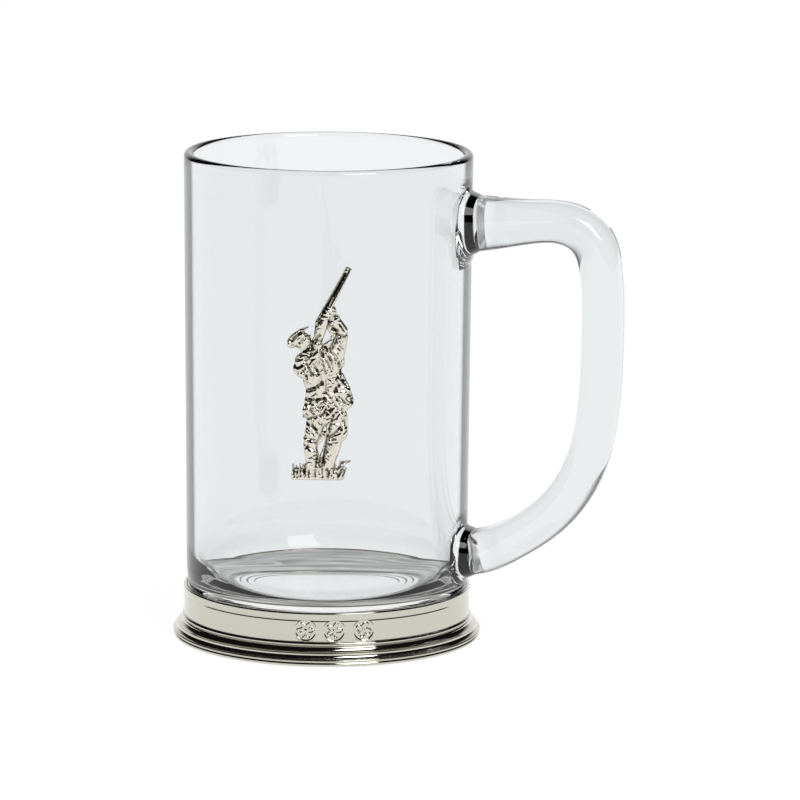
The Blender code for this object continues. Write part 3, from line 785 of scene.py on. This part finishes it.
def massDistance(u, v, kind, shape):
    # Signed distance to one mass, and the width over which its top rounds.
    if kind == "capsule":
        far, share = segmentDistance(u, v, *shape[:4])
        width = shape[4] + (shape[5] - shape[4]) * share
        return far - width, width
    if kind == "oval":
        tilt = math.radians(shape[4])
        across = ((u - shape[0]) * math.cos(tilt) + (v - shape[1]) * math.sin(tilt)) / shape[2]
        along = ((v - shape[1]) * math.cos(tilt) - (u - shape[0]) * math.sin(tilt)) / shape[3]
        size = np.hypot(across, along) + tiny
        slope = np.hypot(across / shape[2], along / shape[3]) + tiny
        return size * (size - 1) / slope, min(shape[2], shape[3])
    return polygonDistance(u, v, list(shape)), badge["roundWidth"]


def foldHeight(u, v, folds):
    # Cloth folds with round ridges and narrow creases: a power of the absolute sine of a wandering phase.
    if folds[0] == "lines":
        turn = math.radians(folds[3])
        phase = (u * math.cos(turn) + v * math.sin(turn)) * math.pi / folds[1]
        phase = phase + 1.1 * np.sin(0.8 * u - 1.0 * v) + 0.7 * np.sin(1.6 * v + 0.9 * u)
    else:
        phase = np.arctan2(v - folds[3][1], u - folds[3][0]) * folds[1] / 2
        phase = phase + 0.5 * np.sin(1.3 * np.hypot(u - folds[3][0], v - folds[3][1]))
    strength = 1 + 0.6 * np.sin(1.3 * u + 0.7 * v) * np.sin(0.9 * v - 0.5 * u)
    return folds[2] * strength * (2 * np.abs(np.sin(phase)) ** 0.8 - 1.2)


def figureDistance(u, v):
    # Outline of the whole figure: the nearest of all masses and blades, less the openings.
    s = badge
    distance = np.full(np.shape(u), farAway)
    blades = [("blade", "capsule", (*blade, s["bladeTip"])) for blade in s["blades"]]
    for name, kind, shape, *rest in s["masses"] + blades:
        distance = np.minimum(distance, massDistance(u, v, kind, shape)[0])
    for corners in s["openings"]:
        distance = np.maximum(distance, -polygonDistance(u, v, list(corners)))
    return distance


def smallBlur(values, passes):
    # Averages each value with its neighbours, one quarter either side, along both directions.
    for step in range(passes):
        for axis in (0, 1):
            values = (np.roll(values, 1, axis) + 2 * values + np.roll(values, -1, axis)) / 4
    return values


def reliefHeight(u, v):
    # Height of the casting: the highest of the round-topped masses, each with its folds, and of the blades,
    # less the engraved lines, and the round buckle on top.
    s = badge
    height = np.full(np.shape(u), s["edge"])
    for name, kind, shape, lift, bulge, folds in s["masses"]:
        distance, width = massDistance(u, v, kind, shape)
        rise = np.sqrt(np.clip(1 - (1 + np.clip(distance / width, -1, 0)) ** 2, 0, 1))
        top = lift + bulge * rise
        if folds:
            top = top + foldHeight(u, v, folds) * easeStep(-distance, 0, s["foldEase"])
        height = np.where(distance < 0, np.maximum(height, top), height)
    for u0, v0, u1, v1, width in s["blades"]:
        distance, share = segmentDistance(u, v, u0, v0, u1, v1)
        half = width + (s["bladeTip"] - width) * share
        top = s["bladeLift"] + s["bladeBulge"] * np.sqrt(np.clip(1 - (distance / half) ** 2, 0, 1))
        height = np.where(distance < half, np.maximum(height, top), height)
    for u0, v0, u1, v1, half, depth in s["grooves"]:
        distance = segmentDistance(u, v, u0, v0, u1, v1)[0]
        height = height - depth * np.exp(-((distance / half) ** 2))
    far = np.hypot(u - s["buckle"][0], v - s["buckle"][1]) / s["buckle"][2]
    top = s["buckleLift"] + s["buckleBulge"] * np.sqrt(np.clip(1 - far**2, 0, 1))
    return np.where(far < 1, np.maximum(height, top), height)


def figureSheet(step, inset):
    # Square grid over the figure. Cells inside the outline, drawn in by the inset, are kept, and the outer
    # corners of the kept cells move onto it.
    half, margin = badge["sheetHalf"], badge["sheetMargin"]
    columns = np.arange(-half, half, step)
    rows = np.arange(-margin, badge["drawnHeight"] + margin, step)
    u, v = np.meshgrid(columns, rows)
    kept = figureDistance(u[:-1, :-1] + step / 2, v[:-1, :-1] + step / 2) < -inset
    for turn in range(4):  # cells that touch only at a corner get a third cell beside them
        lone = kept[:-1, :-1] & kept[1:, 1:] & ~kept[1:, :-1] & ~kept[:-1, 1:]
        kept[1:, :-1] |= lone
        lone = kept[1:, :-1] & kept[:-1, 1:] & ~kept[:-1, :-1] & ~kept[1:, 1:]
        kept[:-1, :-1] |= lone
    framed = np.pad(kept, 1)
    around = np.stack([framed[:-1, :-1], framed[:-1, 1:], framed[1:, :-1], framed[1:, 1:]])
    used = around.any(axis=0)
    onEdge = used & ~around.all(axis=0)
    distance = figureDistance(u, v) + inset
    slopeV, slopeU = np.gradient(distance, step)
    length = np.hypot(slopeU, slopeV) + tiny
    move = np.where(onEdge, np.clip(distance, -0.7 * step, 0.7 * step), 0)
    u, v = u - move * slopeU / length, v - move * slopeV / length
    return dict(u=u, v=v, distance=distance, kept=kept, used=used, onEdge=onEdge)


def figurePlate(name, sheet, proudBack, proudFront):
    # Plate bent round the glass wall, between two heights above it, with a side wall that closes it.
    u, v, kept, used = sheet["u"], sheet["v"], sheet["kept"], sheet["used"]
    scale = (badgeHigh[2] - badgeLow[2]) / badge["drawnHeight"]
    z = badgeLow[2] + v * scale
    wall = wallRadius(z)
    angle = badgeTurn + u * scale / (wall + badge["back"])

    def place(proud):
        radius = wall + proud
        return np.stack([axisX + radius * np.sin(angle), -radius * np.cos(angle), z], axis=-1)[used]

    count = int(used.sum())
    index = np.full(u.shape, -1)
    index[used] = np.arange(count)
    a, b, c, d = index[:-1, :-1][kept], index[:-1, 1:][kept], index[1:, 1:][kept], index[1:, :-1][kept]
    faces = [np.stack([a, b, c, d], -1), np.stack([d, c, b, a], -1) + count]
    framed = np.pad(kept, 1)
    inner = framed[1:-1, 1:-1]
    sides = (
        (framed[:-2, 1:-1], index[:-1, :-1], index[:-1, 1:]),
        (framed[1:-1, 2:], index[:-1, 1:], index[1:, 1:]),
        (framed[2:, 1:-1], index[1:, 1:], index[1:, :-1]),
        (framed[1:-1, :-2], index[1:, :-1], index[:-1, :-1]),
    )
    for other, first, second in sides:
        rim = inner & ~other
        start, end = first[rim], second[rim]
        faces.append(np.stack([start, start + count, end + count, end], -1))
    return newPiece(name, np.vstack([place(proudFront), place(proudBack)]), np.vstack(faces).tolist())


def makeShooterBadge():
    # The relief over the figure's sheet. An attribute says how far each point lies below its surroundings,
    # for the dark patina and painted shade in the hollows.
    s = badge
    sheet = figureSheet(s["cell"], 0)
    u, v, distance, used = sheet["u"], sheet["v"], sheet["distance"], sheet["used"]
    dents = np.sin(4.1 * u + 1.7 * np.sin(1.9 * v)) * np.sin(3.7 * v + 1.9 * np.sin(2.3 * u))
    height = smallBlur(reliefHeight(u, v), s["soften"]) + s["dents"] * dents
    level = smallBlur(np.where(distance < 0, height, s["edge"]), s["levelPasses"])
    # Mask for the dark patina and painted shade in the hollows.
    patinaAndShade = np.clip((level - height) / s["fullRecess"], 0, 1)
    edgeRise = np.sqrt(np.clip(1 - (1 - np.clip(-distance / s["edgeRound"], 0, 1)) ** 2, 0, 1))
    height = s["edge"] + (height - s["edge"]) * np.where(sheet["onEdge"], s["edgeShare"], edgeRise)
    front = s["back"] + np.clip(height, *s["heights"]) * mm
    piece = figurePlate("shooterBadge", sheet, s["back"], front)
    shade = piece.data.attributes.new("patinaAndShade", "FLOAT", "POINT")
    values = np.concatenate([patinaAndShade[used], np.zeros(int(used.sum()))])
    shade.data.foreach_set("value", values.astype(np.float32))
    return piece


def makeBadgeBond():
    # Film of adhesive between the glass and the badge, a little smaller than the figure.
    s = badge
    sheet = figureSheet(s["bondCell"], s["bondInset"])
    return figurePlate("badgeBond", sheet, s["bondBack"], s["bondFront"])


body = makeGlassBody()
fuseHandle(body, makeGlassHandle())
finishPiece(body, clearGlass(), "clear_glass", "glass_body", "glass_handle")
finishPiece(makePewterRing(), polishedPewter(), "polished_pewter", "base_ring")
print("glass and ring made")
shooter = makeShooterBadge()
finishPiece(shooter, castPewter(), "cast_pewter", "shooter_badge")
print("badge made with", len(shooter.data.polygons), "faces")
bond = greyAdhesive()
finishPiece(makeRingBond(), bond, "adhesive", "base_ring_bond")
finishPiece(makeBadgeBond(), bond, "adhesive", "badge_bond")
print("adhesive made")


studio = dict(
    viewTurn=12.0,             # camera from -Y towards the handle, degrees
    viewHeight=10.72,          # camera above the horizon, degrees
    distance=1.55,
    sensor=36,
    clipEnd=50,
    lens=241.6,
    aimSide=20.9 * mm,         # aim beside the tankard's axis
    aimHeight=68.75 * mm,
    roll=0.39,
    backdropSides=(0.76, 0.96),  # cosine towards the back where the backdrop starts and is full
    backdropTop=(-0.55, -0.40),
    roomLevels=(0.008, 1.0),   # dark room, backdrop
    fill=1.0,                  # soft light that matt surfaces get from all round
    softboxTurn=28,            # from the camera towards the handle, degrees
    softboxHeight=38,
    softboxReach=1.5,
    softboxSize=(0.66, 0.9),
    softboxPower=9,
    softboxAim=70.0 * mm,
    floorHalf=12.0,
    floorDrop=0.2 * mm,
    floorTone=0.12,
    floorRoughness=0.9,
    floorGlow=0.88,
)


def makeCamera():
    # Long lens, turned towards the handle and a little down, aimed beside the tankard's axis.
    s = studio
    turn = math.radians(s["viewTurn"])
    tilt = math.radians(s["viewHeight"])
    right = Vector((math.cos(turn), math.sin(turn), 0))
    back = Vector((math.sin(turn) * math.cos(tilt), -math.cos(turn) * math.cos(tilt), math.sin(tilt)))
    aim = Vector((axisX, 0, s["aimHeight"])) + right * s["aimSide"]
    data = bpy.data.cameras.new("studioCamera")
    data.lens = s["lens"]
    data.sensor_width = s["sensor"]
    data.clip_end = s["clipEnd"]
    camera = bpy.data.objects.new("studioCamera", data)
    camera.location = aim + back * s["distance"]
    facing = (-back).to_track_quat("-Z", "Y")
    camera.rotation_euler = facing.to_euler()
    camera.rotation_euler.rotate_axis("Z", math.radians(s["roll"]))
    bpy.context.scene.collection.objects.link(camera)
    bpy.context.scene.camera = camera


def makeFloor():
    # Wide pale floor that is mostly its own light, so it stays even and takes a faint shadow.
    s = studio
    half = s["floorHalf"]
    mesh = bpy.data.meshes.new("paleFloor")
    corners = [(-half, -half, 0), (half, -half, 0), (half, half, 0), (-half, half, 0)]
    mesh.from_pydata(corners, [], [(0, 1, 2, 3)])
    floor = bpy.data.objects.new("paleFloor", mesh)
    floor.location.z = -s["floorDrop"]
    bpy.context.scene.collection.objects.link(floor)
    material, shader = newMaterial("paleFloor")
    shader.inputs["Base Color"].default_value = (*[s["floorTone"]] * 3, 1)
    shader.inputs["Roughness"].default_value = s["floorRoughness"]
    shader.inputs["Emission Color"].default_value = (1, 1, 1, 1)
    shader.inputs["Emission Strength"].default_value = s["floorGlow"]
    mesh.materials.append(material)


def makeWorld():
    # White backdrop behind the tankard up to some height, a dark room elsewhere: the product of a step in
    # how far a direction points away from the camera's side and a step in how high it points. Matt surfaces
    # and the view itself get full white.
    s = studio
    turn = math.radians(s["viewTurn"])
    world = bpy.data.worlds.new("paleRoom")
    world.use_nodes = True
    tree = world.node_tree
    background = tree.nodes["Background"]
    place = tree.nodes.new("ShaderNodeTexCoord")
    away = (-math.sin(turn), math.cos(turn), 0)
    both = None
    for way, limits in ((away, s["backdropSides"]), ((0, 0, -1), s["backdropTop"])):
        dot = tree.nodes.new("ShaderNodeVectorMath")
        dot.operation = "DOT_PRODUCT"
        dot.inputs[1].default_value = way
        tree.links.new(place.outputs["Generated"], dot.inputs[0])
        level = rangeNode(tree, dot.outputs["Value"], limits, smooth=True)
        both = mathNode(tree, "MULTIPLY", both, level) if both else level
    strength = rangeNode(tree, both, results=s["roomLevels"])
    path = tree.nodes.new("ShaderNodeLightPath").outputs
    fill = mathNode(tree, "MINIMUM", path["Diffuse Depth"], s["fill"])
    for level in (fill, path["Is Camera Ray"]):
        strength = mathNode(tree, "MAXIMUM", level, strength)
    tree.links.new(strength, background.inputs["Strength"])
    background.inputs["Color"].default_value = (1, 1, 1, 1)
    bpy.context.scene.world = world


def makeSoftbox():
    # One softbox, high on the handle side of the camera, turned to the tankard.
    s = studio
    turn = math.radians(s["viewTurn"] + s["softboxTurn"])
    rise = math.radians(s["softboxHeight"])
    way = Vector((math.sin(turn) * math.cos(rise), -math.cos(turn) * math.cos(rise), math.sin(rise)))
    data = bpy.data.lights.new("softbox", "AREA")
    data.shape = "RECTANGLE"
    data.size, data.size_y = s["softboxSize"]
    data.energy = s["softboxPower"]
    light = bpy.data.objects.new("softbox", data)
    light.location = Vector((axisX, 0, s["softboxAim"])) + way * s["softboxReach"]
    light.rotation_euler = (-way).to_track_quat("-Z", "Y").to_euler()
    bpy.context.scene.collection.objects.link(light)


makeWorld()
makeSoftbox()
makeFloor()
makeCamera()
bpy.context.scene.view_settings.view_transform = "Standard"
print("studio made")
